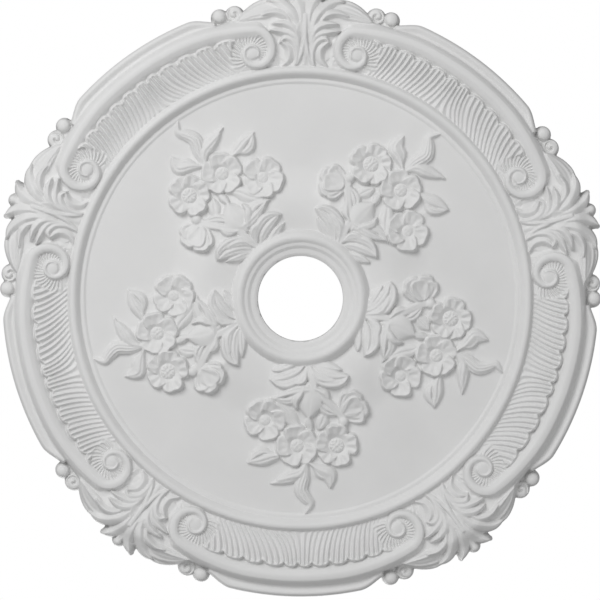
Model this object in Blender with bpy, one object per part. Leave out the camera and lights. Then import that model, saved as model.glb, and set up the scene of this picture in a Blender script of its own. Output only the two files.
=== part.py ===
"""A moulded ceiling rose: a round plate with a centre hole, five flower sprays, scrolled frames and acanthus.

It hangs as on a ceiling. The flat back lies in the plane z = 0 and the relief faces down, towards -Z.
Seen from below with +Y up, +X points left, so plan positions are written as (right, up) and mirrored once.
The relief is a height over the plan: each ornament is laid on the turned plate where it is the higher.
"""

import math

import bmesh
import bpy
import numpy as np

MM = 0.001

# Driving dimensions, from the hole outwards
HOLE_RADIUS = 47.6 * MM
HUB_RING_WIDTH = 29.4 * MM
FIELD_WIDTH = 162 * MM
BAND_WIDTH = 20 * MM
FRIEZE_WIDTH = 43.5 * MM
STRAP_WIDTH = 11.5 * MM
COVE_WIDTH = 10 * MM
RIM_WIDTH = 10 * MM

# Heights above the back
HUB_RING_TOP = 33 * MM
HUB_FOOT = 23 * MM
SWELL_TOP = 26 * MM
SWELL_REACH = 27 * MM
SWELL_FALL_WIDTH = 47 * MM
FIELD_THICKNESS = 18.5 * MM
BAND_TOP = 27.5 * MM
FRIEZE_THICKNESS = 20 * MM
FRIEZE_RISE = 4 * MM
STRAP_TOP = 32 * MM
COVE_THICKNESS = 20 * MM
RIM_TOP = 23 * MM
RIM_EDGE = 11 * MM

# Scrolls, flutes, beads and clusters of the border
SECTORS = 5
VOLUTE_RADIUS = 27 * MM
VOLUTE_DEPTH = 31 * MM
VOLUTE_ANGLE = 23.9
EYE_RADIUS = 7.4 * MM
EYE_HEIGHT = 3 * MM
RIM_HALF_ANGLE = 17.6
RIM_TURN_ANGLE = 5
FLUTE_DEPTH = 4.4 * MM
LOBE_DEPTH = 4.5 * MM
FLUTES_IN_LOBE = 3.5
BEAD_RADIUS = 7.5 * MM
BEAD_ANGLE = 18.9
CURL_RADIUS = 9 * MM
CURL_ANGLE = 21.9
CLUSTER_HEIGHT = 86 * MM
SPRAY_LENGTH = 166 * MM
PETAL_THICKNESS = 2.5 * MM
LEAF_THICKNESS = 2.6 * MM
GAP_FILL = 0.3
GAP_REACH = 4.2 * MM

# Hand-set angles in degrees: the lobes' edges across a panel, and each spray's turn from the panel's middle
LOBE_EDGES = (-26.5, -22.6, -18.9, -15.3, -11.2, -7.3, -3.4, -0.4, 2.5, 7.0, 11.3, 15.8, 20.8, 26.0)
SPRAY_TURNS = (5.5, 3.5, 0.0, 3.0, 2.5)

# How finely the relief is worked out, and how many triangles the solid keeps
GRID_STEP = 1.6 * MM
EDGE_SOFTNESS = 0.6 * MM
KEPT_TRIANGLES = 9400
HOLE_SIDES = 96
WALL_SLOPE = 6.0
OUTSIDE = -30 * MM

HUB_OUTER = HOLE_RADIUS + HUB_RING_WIDTH
FIELD_OUTER = HUB_OUTER + FIELD_WIDTH
BAND_OUTER = FIELD_OUTER + BAND_WIDTH
STRAP_INNER = BAND_OUTER + FRIEZE_WIDTH
STRAP_OUTER = STRAP_INNER + STRAP_WIDTH
STRAP_MIDDLE = (STRAP_INNER + STRAP_OUTER) / 2
RIM_INNER = STRAP_OUTER + COVE_WIDTH
RIM_OUTER = RIM_INNER + RIM_WIDTH
VOLUTE_CENTRE = STRAP_MIDDLE - VOLUTE_DEPTH
SECTOR_ANGLE = 360 / SECTORS
CLUSTER_UNIT = CLUSTER_HEIGHT / 86
CLUSTER_START = BAND_OUTER - 0.12 * BAND_WIDTH
SPRAY_UNIT = SPRAY_LENGTH / 166
SPRAY_START = HUB_OUTER - 0.18 * HUB_RING_WIDTH

# Turned mouldings: (share of the width, share of the height)
HUB_PROFILE = (
    (0.0, 0.15), (0.05, 0.28), (0.12, 0.36), (0.20, 0.38), (0.27, 0.40), (0.33, 0.55), (0.38, 0.66),
    (0.45, 0.68), (0.50, 0.70), (0.55, 0.86), (0.61, 0.96), (0.68, 1.0), (0.75, 0.96), (0.82, 0.82),
    (0.89, 0.58), (0.95, 0.28), (1.0, 0.0),
)
BAND_PROFILE = (
    (0.0, 0.0), (0.05, 0.10), (0.11, 0.17), (0.24, 0.17), (0.29, 0.14), (0.35, 0.33), (0.44, 0.66),
    (0.54, 0.90), (0.64, 1.0), (0.75, 0.99), (0.84, 0.88), (0.92, 0.58), (1.0, 0.28),
)


def smooth_step(value, low, high):
    share = np.clip((value - low) / (high - low), 0, 1)
    return share * share * (3 - 2 * share)


def arch(value, low, high):
    """1 in the middle of low to high, falling to 0 at both ends as a half circle."""
    across = (2 * value - low - high) / (high - low)
    return np.sqrt(np.clip(1 - across * across, 0, 1))


def smooth_curve(points, steps):
    """A Catmull-Rom curve through the points."""
    p = np.array(points, float)
    p = np.vstack([2 * p[0] - p[1], p, 2 * p[-1] - p[-2]])
    t = np.linspace(0, 1, steps, endpoint=False)[:, None]
    parts = []
    for i in range(1, len(p) - 2):
        a, b, c, d = p[i - 1], p[i], p[i + 1], p[i + 2]
        square, cube = 2 * a - 5 * b + 4 * c - d, 3 * b - a - 3 * c + d
        parts.append(0.5 * (2 * b + (c - a) * t + square * t**2 + cube * t**3))
    return np.vstack([*parts, p[-2:-1]])


class Relief:
    """Heights above the back, at the points of a square grid over the plan."""

    def __init__(self, mesh):
        place = np.empty(3 * len(mesh.vertices))
        mesh.vertices.foreach_get("co", place)
        self.count = math.isqrt(len(mesh.vertices))
        place = place.reshape(self.count, self.count, 3)[:, ::-1]
        self.right, self.up = -place[..., 0], place[..., 1]
        self.start = np.array([self.right[0, 0], self.up[0, 0]])
        self.step = self.up[1, 0] - self.up[0, 0]
        self.radius = np.hypot(self.right, self.up)
        # The angle to the right of the nearest cluster's axis and of the nearest panel's middle, in degrees
        turned = np.degrees(np.arctan2(self.right, self.up))
        self.from_panel = turned % SECTOR_ANGLE - SECTOR_ANGLE / 2
        self.from_cluster = (turned + SECTOR_ANGLE / 2) % SECTOR_ANGLE - SECTOR_ANGLE / 2
        self.bed = self.dished_bed()
        self.ground = self.plate()
        self.height = self.ground.copy()

    def dished_bed(self):
        """The plate without its mouldings, which the ornaments stand on."""
        r = self.radius
        crest = HUB_OUTER + SWELL_REACH
        inner = SWELL_TOP - (SWELL_TOP - HUB_FOOT) * np.clip((crest - r) / SWELL_REACH, 0, 1) ** 2.2
        outer = SWELL_TOP - (SWELL_TOP - FIELD_THICKNESS) * smooth_step(r, crest, crest + SWELL_FALL_WIDTH)
        floor = FRIEZE_THICKNESS + FRIEZE_RISE * smooth_step(r, BAND_OUTER, STRAP_INNER)
        floor = floor - 2 * FRIEZE_RISE * smooth_step(r, STRAP_OUTER, RIM_OUTER)
        return np.where(r > BAND_OUTER, floor, np.where(r < crest, inner, outer))

    def plate(self):
        """The turned plate: ring round the hole, dished field, band and the border's floor."""
        r = self.radius
        share, level = np.array(HUB_PROFILE).T
        hub = np.interp((r - HOLE_RADIUS) / HUB_RING_WIDTH, share, level)
        hub = HUB_FOOT + (HUB_RING_TOP - HUB_FOOT) * hub
        share, level = np.array(BAND_PROFILE).T
        band = np.interp((r - FIELD_OUTER) / BAND_WIDTH, share, level)
        band = FIELD_THICKNESS + (BAND_TOP - FIELD_THICKNESS) * band
        height = np.where(r < HUB_OUTER, hub, self.bed)
        height = np.where((r > FIELD_OUTER) & (r < BAND_OUTER), band, height)
        # The plate's edge stands out under each cluster, within the leaves' own outline
        under_leaves = np.exp(-((self.from_cluster / 6.0) ** 2)) * 0.22 * CLUSTER_HEIGHT
        edge = RIM_INNER - 0.8 * COVE_WIDTH + under_leaves
        return np.maximum(height - self.wall(r - edge), OUTSIDE)

    def patch(self, low, high):
        """The part of the grid that a box in the plan covers."""
        first = np.clip(((np.array(low) - self.start) / self.step).astype(int), 0, self.count - 1)
        last = np.clip(((np.array(high) - self.start) / self.step).astype(int) + 2, 1, self.count)
        return slice(first[1], last[1]), slice(first[0], last[0])

    def lay(self, where, height):
        self.height[where] = np.maximum(self.height[where], height)

    def wall(self, beyond):
        """How far a steep wall has fallen at a distance beyond its edge."""
        return WALL_SLOPE * np.maximum(beyond, 0)

    def foot_at(self, centre):
        column, row = np.clip(((centre - self.start) / self.step).astype(int), 0, self.count - 1)
        return float(self.bed[row, column])

    def ribbon(self, points, half_widths, shape):
        """Lays a strip along a line. shape(along, across) gives its height above the plate."""
        reach = half_widths.max() + 4 * MM
        where = self.patch(points.min(0) - reach, points.max(0) + reach)
        x, y = self.right[where], self.up[where]
        best = np.full(x.shape, np.inf)
        along, across, beyond = np.zeros(x.shape), np.zeros(x.shape), np.zeros(x.shape)
        lengths = np.hypot(*np.diff(points, axis=0).T)
        ends = np.concatenate([[0], np.cumsum(lengths)]) / lengths.sum()
        for i, length in enumerate(lengths):
            way = (points[i + 1] - points[i]) / length
            dx, dy = x - points[i][0], y - points[i][1]
            t = np.clip((dx * way[0] + dy * way[1]) / length, 0, 1)
            distance = np.hypot(dx - t * length * way[0], dy - t * length * way[1])
            half = half_widths[i] + t * (half_widths[i + 1] - half_widths[i])
            near = distance < best
            best = np.where(near, distance, best)
            along = np.where(near, ends[i] + t * (ends[i + 1] - ends[i]), along)
            beyond = np.where(near, distance - half, beyond)
            side = np.sign(way[0] * dy - way[1] * dx)
            across = np.where(near, side * distance / np.maximum(half, 1e-6), across)
        height = shape(along, np.clip(across, -1, 1)) - self.wall(beyond)
        self.lay(where, self.bed[where] + height)

    def leaf(self, place, points, width, rise, crown=1.2, vein=0.6, tilt=0.0, full=0.5,
             plump=0.75, keen=2.0):
        """A pointed leaf. rise is its height at the root, middle and tip, in leaf thicknesses.

        full is where along it is widest, a large plump makes its sides straight, tilt lifts its left edge,
        and a small keen gives it a sharp ridge.
        """
        line = smooth_curve([place(p) for p in points], 6)
        share = np.linspace(0, 1, len(line))
        bulge = np.where(share < full, 0.5 + 0.5 * share / full, 1 - 0.5 * (share - full) / (1 - full))
        swell = np.maximum(np.sin(math.pi * (bulge - 0.5)) ** plump, 0.35 * (1 - share) ** 2)
        tilt *= place.mirror

        def shape(along, across):
            body = np.interp(along, (0, 0.5, 1), rise)
            fold = crown * (1 - np.abs(across) ** keen) + tilt * across
            fold = fold - 1.3 * vein * np.exp(-np.abs(across / 0.16))
            return LEAF_THICKNESS * (body + fold)

        self.ribbon(line, 0.5 * width * place.unit * swell, shape)

    def stem(self, place, points, width, rise):
        """A round stalk of even width; rise as for a leaf."""
        line = smooth_curve([place(p) for p in points], 6)

        def shape(along, across):
            body = np.interp(along, (0, 0.5, 1), rise)
            return LEAF_THICKNESS * (body + 0.6 * np.sqrt(1 - across**2)
                                     - 0.2 * np.exp(-((across / 0.18) ** 2)))

        self.ribbon(line, np.full(len(line), 0.5 * width * place.unit), shape)

    def dome(self, centre, radius, foot, height, flat=0.5):
        where = self.patch(centre - radius - 4 * MM, centre + radius + 4 * MM)
        away = np.hypot(self.right[where] - centre[0], self.up[where] - centre[1])
        crown = height * np.clip(1 - (away / radius) ** 2, 0, 1) ** flat
        self.lay(where, foot + crown - self.wall(away - radius))

    def petal(self, place, centre, angle, size, foot, open_by, wide=1.0):
        """One dished petal; open_by is how far its outer end stands up."""
        middle, a = place(centre), math.radians(angle) + place.turn
        unit = size * place.unit
        where = self.patch(middle - 1.2 * unit, middle + 1.2 * unit)
        dx, dy = self.right[where] - middle[0], self.up[where] - middle[1]
        out = (dx * math.cos(a) + dy * math.sin(a)) / unit
        aside = (-dx * math.sin(a) + dy * math.cos(a)) / unit
        half = wide * (0.40 + 0.18 * np.clip(out, 0, 1))
        notch = 0.05 * np.exp(-((aside / 0.12) ** 2)) * (out > 0.56)
        egg = (np.abs((out - 0.54) / 0.46) ** 2.5 + np.abs(aside / half) ** 2.5) ** 0.4 + notch
        edge = np.clip((1 - egg) / 0.10, 0, 1) ** 0.5
        rolled = 0.8 * np.clip(egg, 0, 0.9) ** 2.5
        cup = open_by * np.clip(out, 0, 1) ** 1.6
        height = cup + 0.7 * edge + rolled + 1.4 * aside
        self.lay(where, self.bed[where] + foot + PETAL_THICKNESS * height
                 - self.wall((egg - 1) * 0.43 * unit))

    def heart(self, middle, radius, foot):
        """A flower's heart: a low disc, sunk in a bowl of petals."""
        where = self.patch(middle - 2 * radius, middle + 2 * radius)
        away = np.hypot(self.right[where] - middle[0], self.up[where] - middle[1]) / radius
        bowl = foot - 0.15 * radius + 0.9 * radius * np.maximum(away - 1.1, 0)
        sunk = np.minimum(self.height[where], bowl)
        self.height[where] = np.where(away < 1.9, sunk, self.height[where])
        disc = 0.25 * radius * np.clip(1 - away**2, 0, 1) ** 0.5
        self.lay(where, foot + disc - self.wall((away - 1) * radius))

    def fill_gaps(self):
        """Part fills the narrow gaps between ornaments, as a mould that has to let the casting go does."""
        cells = max(1, round(GAP_REACH / self.step))
        stands = self.height - self.ground
        for widen in (np.maximum, np.minimum):
            for axis in (0, 1):
                spread = stands
                for k in range(1, cells + 1):
                    spread = widen(spread, widen(np.roll(stands, k, axis), np.roll(stands, -k, axis)))
                stands = spread
        for _ in range(round(0.4 * cells**2) + 1):
            for axis in (0, 1):
                stands = 0.25 * np.roll(stands, 1, axis) + 0.5 * stands + 0.25 * np.roll(stands, -1, axis)
        solid = self.ground > 0
        self.height = np.where(solid, np.maximum(self.height, self.ground + GAP_FILL * stands), self.height)

    def soften(self):
        """Rounds every edge a little, as a casting's are."""
        passes = max(1, round(2 * (EDGE_SOFTNESS / self.step) ** 2))
        h = self.height
        for _ in range(passes):
            for axis in (0, 1):
                h = 0.25 * np.roll(h, 1, axis) + 0.5 * h + 0.25 * np.roll(h, -1, axis)
        self.height = h

    def shape(self, mesh):
        """Pulls the grid down to its heights."""
        place = np.stack([-self.right, self.up, -self.height], axis=-1)[:, ::-1]
        mesh.vertices.foreach_set("co", place.ravel())
        mesh.update()


class Place:
    """Turns (right, up) in an ornament's own units into a plan position."""

    def __init__(self, turned, unit, base=0.0, mirror=1):
        self.turn, self.unit, self.base, self.mirror = -math.radians(turned), unit, base, mirror

    def __call__(self, point):
        right, up = point[0] * self.unit * self.mirror, point[1] * self.unit + self.base
        c, s = math.cos(self.turn), math.sin(self.turn)
        return np.array([right * c - up * s, right * s + up * c])


# How the strap narrows as it winds into the volute: degrees, share of its width
STRAP_TAPER = ((0, 90, 180, 270, 360, 450), (0.94, 0.80, 0.62, 0.44, 0.30, 0.22))


def scroll_line(side):
    """The middle line and half widths of half a frame strap, from the panel's middle into its volute."""
    arc = np.radians(np.arange(0, VOLUTE_ANGLE - 3, 1.5))
    sinking = smooth_step(arc, math.radians(10), math.radians(VOLUTE_ANGLE))
    sinking = (VOLUTE_DEPTH - VOLUTE_RADIUS) * sinking
    points = [(r * math.sin(a), r * math.cos(a)) for r, a in zip(STRAP_MIDDLE - sinking, arc)]
    widths = [STRAP_WIDTH / 2] * len(points)
    eye = math.radians(VOLUTE_ANGLE)
    centre = np.array([math.sin(eye), math.cos(eye)]) * VOLUTE_CENTRE
    for turned in np.arange(12, 500, 12):
        a = eye + math.radians(turned)
        wound = 0.27 + 0.73 * math.exp(-((turned / 175) ** 2))
        points.append(centre + VOLUTE_RADIUS * wound * np.array([math.sin(a), math.cos(a)]))
        widths.append(STRAP_WIDTH / 2 * np.interp(turned, *STRAP_TAPER))
    points = np.array(points)
    for _ in range(2):
        points[1:-1] = 0.25 * points[:-2] + 0.5 * points[1:-1] + 0.25 * points[2:]
    points[:, 0] *= side
    return points, np.array(widths), centre * (side, 1)


def frame_strap(relief, turned):
    place = Place(turned, 1.0)
    stands = STRAP_TOP - FRIEZE_THICKNESS - FRIEZE_RISE
    for side in (1, -1):
        points, halves, eye = scroll_line(side)
        points = np.array([place(p) for p in points])

        def ledge(along, across):
            return stands * (0.25 + 0.4 * smooth_step(-np.abs(across), -0.95, -0.7))

        def shape(along, across, side=side):
            crown = 0.76 + 0.24 * np.sqrt(1 - across**2) - 0.06 * smooth_step(-side * across, 0, 1)
            groove = 0.08 * np.exp(-(((side * across + 0.70) / 0.09) ** 2))
            return stands * (crown - groove)

        straight = round(VOLUTE_ANGLE / 1.5)
        relief.ribbon(points[:straight], halves[:straight] + 0.35 * STRAP_WIDTH, ledge)
        relief.ribbon(points, halves, shape)
        middle = place(eye)
        foot = relief.foot_at(middle)
        relief.dome(middle, 1.5 * EYE_RADIUS, foot + 0.5 * stands, 0)
        relief.dome(middle, EYE_RADIUS, foot + 0.55 * stands, EYE_HEIGHT, 0.35)


def inside_scroll(relief):
    """How far each point is from the nearest volute's centre, and its angle round it, over all panels."""
    a = np.radians(relief.from_panel)
    right, up = np.abs(relief.radius * np.sin(a)), relief.radius * np.cos(a)
    eye = math.radians(VOLUTE_ANGLE)
    dx, dy = right - VOLUTE_CENTRE * math.sin(eye), up - VOLUTE_CENTRE * math.cos(eye)
    return np.hypot(dx, dy), np.degrees(np.arctan2(dx, dy)) - VOLUTE_ANGLE


def flutes(relief):
    """The gadrooned lobes between band and strap, each of several flutes, leaning as they run inwards."""
    r = relief.radius
    inwards = np.clip((STRAP_INNER - r) / FRIEZE_WIDTH, 0, 1)
    angle = relief.from_panel
    lean = 1.0 + 3.5 * np.tanh(angle / 5)
    lobes = np.interp(angle - lean * inwards**2, LOBE_EDGES, np.arange(len(LOBE_EDGES)))
    across = 2 * (lobes - np.floor(lobes)) - 1
    end = STRAP_INNER - 0.09 * FRIEZE_WIDTH - 0.11 * FRIEZE_WIDTH * np.abs(across) ** 3
    arris = 1 - np.abs(np.sin(math.pi * FLUTES_IN_LOBE * lobes)) ** 1.2
    fade = smooth_step(r, BAND_OUTER, BAND_OUTER + 0.8 * FRIEZE_WIDTH)
    round_end = np.clip((end - r) / (0.08 * FRIEZE_WIDTH), 0, 1) ** 0.5
    cuff = smooth_step(r, end - 0.11 * FRIEZE_WIDTH, end - 0.05 * FRIEZE_WIDTH)
    ridge = FLUTE_DEPTH * np.maximum(arris, cuff) * (0.5 + 0.5 * fade)
    rise = LOBE_DEPTH * (0.25 + 0.75 * fade) * (1 - 0.3 * across**4) + ridge
    from_eye, round_eye = inside_scroll(relief)
    side_room = np.radians(VOLUTE_ANGLE - np.abs(angle)) * r
    room = np.minimum(side_room, from_eye - 0.84 * VOLUTE_RADIUS)
    room = np.minimum(room, np.minimum(r - BAND_OUTER, end - r))
    everywhere = (slice(None), slice(None))
    relief.lay(everywhere, relief.ground + np.minimum(rise * round_end, WALL_SLOPE * room))
    swirl = round_eye + 40 * (1 - from_eye / VOLUTE_RADIUS)
    ribs = 0.45 * LOBE_DEPTH + 0.8 * FLUTE_DEPTH * (1 - np.abs(np.sin(np.radians(14 * swirl))) ** 1.2)
    room = np.minimum(1.2 * VOLUTE_RADIUS - from_eye, r - BAND_OUTER)
    relief.lay(everywhere, relief.ground + np.minimum(ribs, 0.6 * room))


def rim(relief):
    """The outer roll and the cove behind it. The roll turns inwards at both ends of a panel."""
    angle = np.abs(relief.from_panel)
    turn = smooth_step(angle, RIM_HALF_ANGLE - RIM_TURN_ANGLE, RIM_HALF_ANGLE + 0.3 * RIM_TURN_ANGLE)
    edge = RIM_OUTER - RIM_EDGE / WALL_SLOPE - (0.5 * COVE_WIDTH + 0.6 * RIM_WIDTH) * turn
    inwards = edge - relief.radius
    roll = RIM_EDGE + (RIM_TOP - RIM_EDGE) * arch(inwards, -0.05 * RIM_WIDTH, RIM_WIDTH)
    up_strap = np.clip(1 - (relief.radius - STRAP_OUTER) / COVE_WIDTH, 0, 1)
    cove = COVE_THICKNESS + 0.75 * (STRAP_TOP - COVE_THICKNESS) * up_strap**3
    flank = cove + np.maximum(RIM_TOP - cove, 0) * smooth_step(-inwards, -1.1 * RIM_WIDTH, -0.5 * RIM_WIDTH)
    height = np.where(inwards < 0.5 * RIM_WIDTH, roll, flank) - relief.wall(-inwards)
    room = np.minimum(np.radians(RIM_HALF_ANGLE - angle) * relief.radius, relief.radius - STRAP_MIDDLE)
    relief.lay((slice(None), slice(None)), height - relief.wall(-room))


def beads(relief, turned):
    """A bead and a small curl on the edge at each end of a panel."""
    for side in (1, -1):
        a = math.radians(turned + side * BEAD_ANGLE)
        bead = np.array([math.sin(a), math.cos(a)]) * (RIM_INNER + 0.43 * BEAD_RADIUS)
        relief.dome(bead, BEAD_RADIUS, 0.7 * COVE_THICKNESS, 0.75 * BEAD_RADIUS)
        saddle = np.array([math.sin(a), math.cos(a)]) * (RIM_INNER - 0.77 * BEAD_RADIUS)
        relief.dome(saddle, 1.3 * BEAD_RADIUS, 0.5 * COVE_THICKNESS, 0.3 * BEAD_RADIUS)
        a = math.radians(turned + side * CURL_ANGLE)
        curl = np.array([math.sin(a), math.cos(a)]) * (RIM_INNER + 0.16 * CURL_RADIUS)
        relief.dome(curl, CURL_RADIUS, 0.6 * COVE_THICKNESS, 0.5 * CURL_RADIUS, 0.3)


# The leaves on one side of a cluster: middle line, width, rise and tilt
ACANTHUS = (
    (((25, 1), (18, 9), (18, 20), (27, 28)), 11, (0.4, 1.2, 1.8), 0.5),
    (((12, -2), (9, 12), (12, 25), (21, 31), (28, 26)), 10, (0.6, 1.6, 1.8), 0.6),
    (((5, 8), (8, 24), (14, 34), (26, 38), (40, 40)), 10, (0.6, 1.8, 1.8), 0.6),
    (((6, 20), (9, 34), (15, 43), (25, 47), (37, 47)), 10, (1.0, 2.4, 2.0), 0.7),
    (((14, 44), (23, 56), (35, 60), (49, 56)), 9, (1.4, 2.0, 1.4), 0.6),
    (((7, 32), (11, 50), (20, 64), (31, 72), (44, 74)), 13, (1.2, 2.4, 1.6), 0.8),
    (((4, 42), (6, 62), (11, 75), (20, 85)), 13, (1.4, 2.2, 1.0), 0.6),
)


def cluster(relief, turned):
    """The acanthus between two panels: husk, knob and mirrored leaves, in units of its height / 86."""
    middle = Place(turned, CLUSTER_UNIT, CLUSTER_START)
    relief.dome(middle((0, 34)), 36 * CLUSTER_UNIT, FRIEZE_THICKNESS + 0.5 * FRIEZE_RISE,
                0.6 * LEAF_THICKNESS, 0.8)
    for mirror in (1, -1):
        place = Place(turned, CLUSTER_UNIT, CLUSTER_START, mirror)
        for points, width, rise, tilt in ACANTHUS:
            relief.leaf(place, points, width, rise, crown=1.7, vein=0, tilt=tilt, keen=1.3)
        relief.leaf(place, ((18, 54), (36, 65), (54, 62), (75, 51)), 21, (0.8, 1.2, 0.3), tilt=-0.5)
        relief.stem(place, ((8.5, 4), (5, 11), (3, 18), (1.4, 30)), 3.2, (1.6, 2.8, 2.8))
    relief.leaf(middle, ((0, 48), (0, 62), (0, 74), (0, 86)), 12, (1.6, 1.8, 1.0), vein=0.5, full=0.4)
    relief.leaf(middle, ((0, -5), (0, 6), (0, 16), (0, 28)), 19, (0.6, 1.2, 1.6), crown=0.4, vein=0,
                full=0.04)
    relief.leaf(middle, ((0, 18), (0, 30), (0, 43), (0, 59)), 21, (1.4, 3.9, 3.0), crown=-1.4, vein=0,
                full=0.48, plump=0.9, keen=1.6)
    relief.stem(middle, ((0, 2), (0, 20), (0, 40), (0, 57)), 4.6, (1.0, 3.0, 3.0))
    knob = 5.2 * CLUSTER_UNIT
    relief.dome(middle((0, 81.5)), knob, 0.8 * COVE_THICKNESS, 1.2 * knob)


def flower(relief, place, centre, size, heart, lift, angles, opened):
    for angle, standing in zip(angles, opened):
        relief.petal(place, centre, angle, size, lift * PETAL_THICKNESS, standing)
    middle = place(centre)
    relief.heart(middle, heart * place.unit, relief.foot_at(middle) + (lift + 0.1) * PETAL_THICKNESS)


def bud(relief, place):
    middle = place((-59, 46))
    foot = relief.foot_at(middle)
    relief.dome(middle, 14.5 * place.unit, foot + 0.8 * PETAL_THICKNESS, 1.6 * PETAL_THICKNESS)
    relief.dome(place((-50, 64)), 5.5 * place.unit, foot + PETAL_THICKNESS, 1.6 * PETAL_THICKNESS)
    for angle, size, lift in ((180, 26, 0.6), (252, 28, 0.6), (201, 31, 1.0), (236, 32, 1.0)):
        relief.petal(place, (-48, 58), angle, size, lift * PETAL_THICKNESS, 1.7, 0.6)
    relief.petal(place, (-48, 57), 218, 27, 2.0 * PETAL_THICKNESS, 0.9, 0.75)


def spray(relief, turned):
    """A spray of three flowers, a bud and leaves, in units of its length / 166, from the ring outwards."""
    place = Place(turned, SPRAY_UNIT, SPRAY_START)
    relief.leaf(place, ((-4, -2), (8, 1), (21, 6), (30, 9)), 9, (1.0, 1.4, 1.0), tilt=0.4)
    relief.leaf(place, ((-15, -2), (-24, 1), (-35, 3), (-48, 7)), 9, (1.0, 1.4, 1.0), tilt=-0.4)
    relief.leaf(place, ((-6, 2), (4, 9), (18, 15), (32, 19)), 10, (1.2, 1.8, 1.4), tilt=0.5)
    relief.leaf(place, ((-14, 0), (-24, 7), (-39, 12), (-55, 13)), 11, (1.2, 1.8, 1.6), tilt=-0.5)
    relief.leaf(place, ((-8, 5), (-1, 16), (12, 23), (22, 23), (32, 18)), 10, (1.4, 2.2, 1.8), tilt=0.5)
    relief.leaf(place, ((-15, 8), (-22, 19), (-35, 22), (-47, 20), (-55, 13)), 10, (1.4, 2.2, 1.8),
                tilt=-0.5)
    relief.leaf(place, ((-13, 4), (-20, 13), (-29, 17), (-40, 18)), 9, (1.6, 2.4, 2.0), tilt=-0.5)
    relief.leaf(place, ((-8, 8), (-5, 18), (2, 21), (12, 23)), 8, (1.6, 2.4, 1.8), tilt=0.4)
    relief.stem(place, ((-8, -4), (-11, 6), (-15, 19), (-17, 30)), 8, (1.4, 2.0, 1.8))
    relief.leaf(place, ((-16, 30), (-7, 28), (8, 31), (27, 39)), 10, (1.6, 2.2, 1.6), tilt=0.5)
    relief.leaf(place, ((-8, 33), (3, 39), (14, 43), (31, 39)), 10, (1.4, 1.6, 1.2), tilt=-0.4)
    relief.leaf(place, ((22, 44), (13, 54), (6, 64), (-3, 72)), 15, (1.0, 1.6, 1.6), tilt=-0.5)
    relief.leaf(place, ((-30, 54), (-27, 64), (-22, 74)), 14, (1.0, 1.4, 1.4))
    relief.leaf(place, ((-18, 28), (-27, 31), (-31, 35), (-34, 41)), 8, (1.8, 2.0, 1.4), tilt=-0.4)
    relief.leaf(place, ((-22, 42), (-27, 50), (-33, 54), (-43, 57)), 10, (1.4, 1.8, 1.6), vein=1.2)
    relief.stem(place, ((-17, 28), (-26, 37), (-36, 46), (-45, 55), (-51, 64)), 8, (1.6, 1.8, 1.8))
    relief.leaf(place, ((-9, 26), (-12, 37), (-12, 49), (-11, 62)), 27, (1.2, 1.8, 2.0), crown=1.4, vein=0.3,
                tilt=0.5, full=0.48, plump=0.9, keen=1.6)
    relief.leaf(place, ((-6, 26), (-1, 34), (4, 42), (2, 52)), 8, (2.0, 3.0, 2.2), tilt=0.4, keen=1.4)
    relief.leaf(place, ((-11, 58), (-12, 66), (-15, 76)), 8, (2.0, 2.4, 1.6), full=0.6, keen=1.3)
    relief.leaf(place, ((28, 101), (38, 98), (46, 101), (54, 110)), 9, (1.0, 1.6, 1.0), tilt=0.4)
    relief.leaf(place, ((16, 103), (29, 106), (41, 110), (56, 112)), 12, (1.2, 1.6, 0.8), tilt=-0.5)
    relief.leaf(place, ((-8, 112), (-2, 121), (9, 125), (24, 131)), 11, (1.4, 2.0, 1.0), tilt=0.5)
    relief.leaf(place, ((-8, 116), (0, 126), (12, 131), (30, 135)), 9, (1.4, 1.4, 0.6), tilt=-0.4)
    relief.leaf(place, ((-17, 114), (-24, 123), (-32, 127), (-37, 139)), 9, (1.2, 1.4, 0.6), tilt=0.4)
    relief.leaf(place, ((-12, 110), (-24, 116), (-36, 120), (-39, 127), (-37, 139)), 11, (1.4, 2.0, 0.8),
                tilt=-0.5)
    wavy = ((-10, 106), (-8, 124), (-4, 139), (-9, 149), (-15, 157), (-9, 168))
    relief.leaf(place, wavy, 14, (1.4, 2.0, 0.8), vein=0.1, full=0.35)
    flower(relief, place, (37, 64), 23, 5.6, 1.0, (22, 105, 180, 238, 308), (0.6, 0.5, 0.7, 0.9, 1.0))
    flower(relief, place, (-43, 91), 23, 8.0, 1.2, (-18, 37, 104, 186, 270),
           (1.4, 0.5, 0.4, 1.1, 2.4))
    flower(relief, place, (1, 92), 23, 6.8, 1.4, (0, 63, 141, 207, 279), (1.0, 0.5, 0.5, 1.1, 1.3))
    bud(relief, place)


def carve(mesh):
    relief = Relief(mesh)
    middles = [(k + 0.5) * SECTOR_ANGLE for k in range(SECTORS)]
    for middle, turn in zip(middles, SPRAY_TURNS):
        cluster(relief, middle - SECTOR_ANGLE / 2)
        spray(relief, middle + turn)
    relief.fill_gaps()
    flutes(relief)
    rim(relief)
    for middle in middles:
        beads(relief, middle)
        frame_strap(relief, middle)
    relief.soften()
    relief.shape(mesh)


def close_back(mesh):
    """Cuts the relief off at the plane of the back and closes it there with one flat face."""
    cut = bmesh.new()
    cut.from_mesh(mesh)
    bmesh.ops.triangulate(cut, faces=cut.faces)
    whole = cut.verts[:] + cut.edges[:] + cut.faces[:]
    bmesh.ops.bisect_plane(cut, geom=whole, plane_co=(0, 0, 0), plane_no=(0, 0, 1), clear_outer=True)
    outline = [edge for edge in cut.edges if edge.is_boundary]
    bmesh.ops.triangle_fill(cut, edges=outline, use_beauty=True, normal=(0, 0, 1))
    bmesh.ops.recalc_face_normals(cut, faces=cut.faces)
    cut.to_mesh(mesh)
    cut.free()


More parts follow.
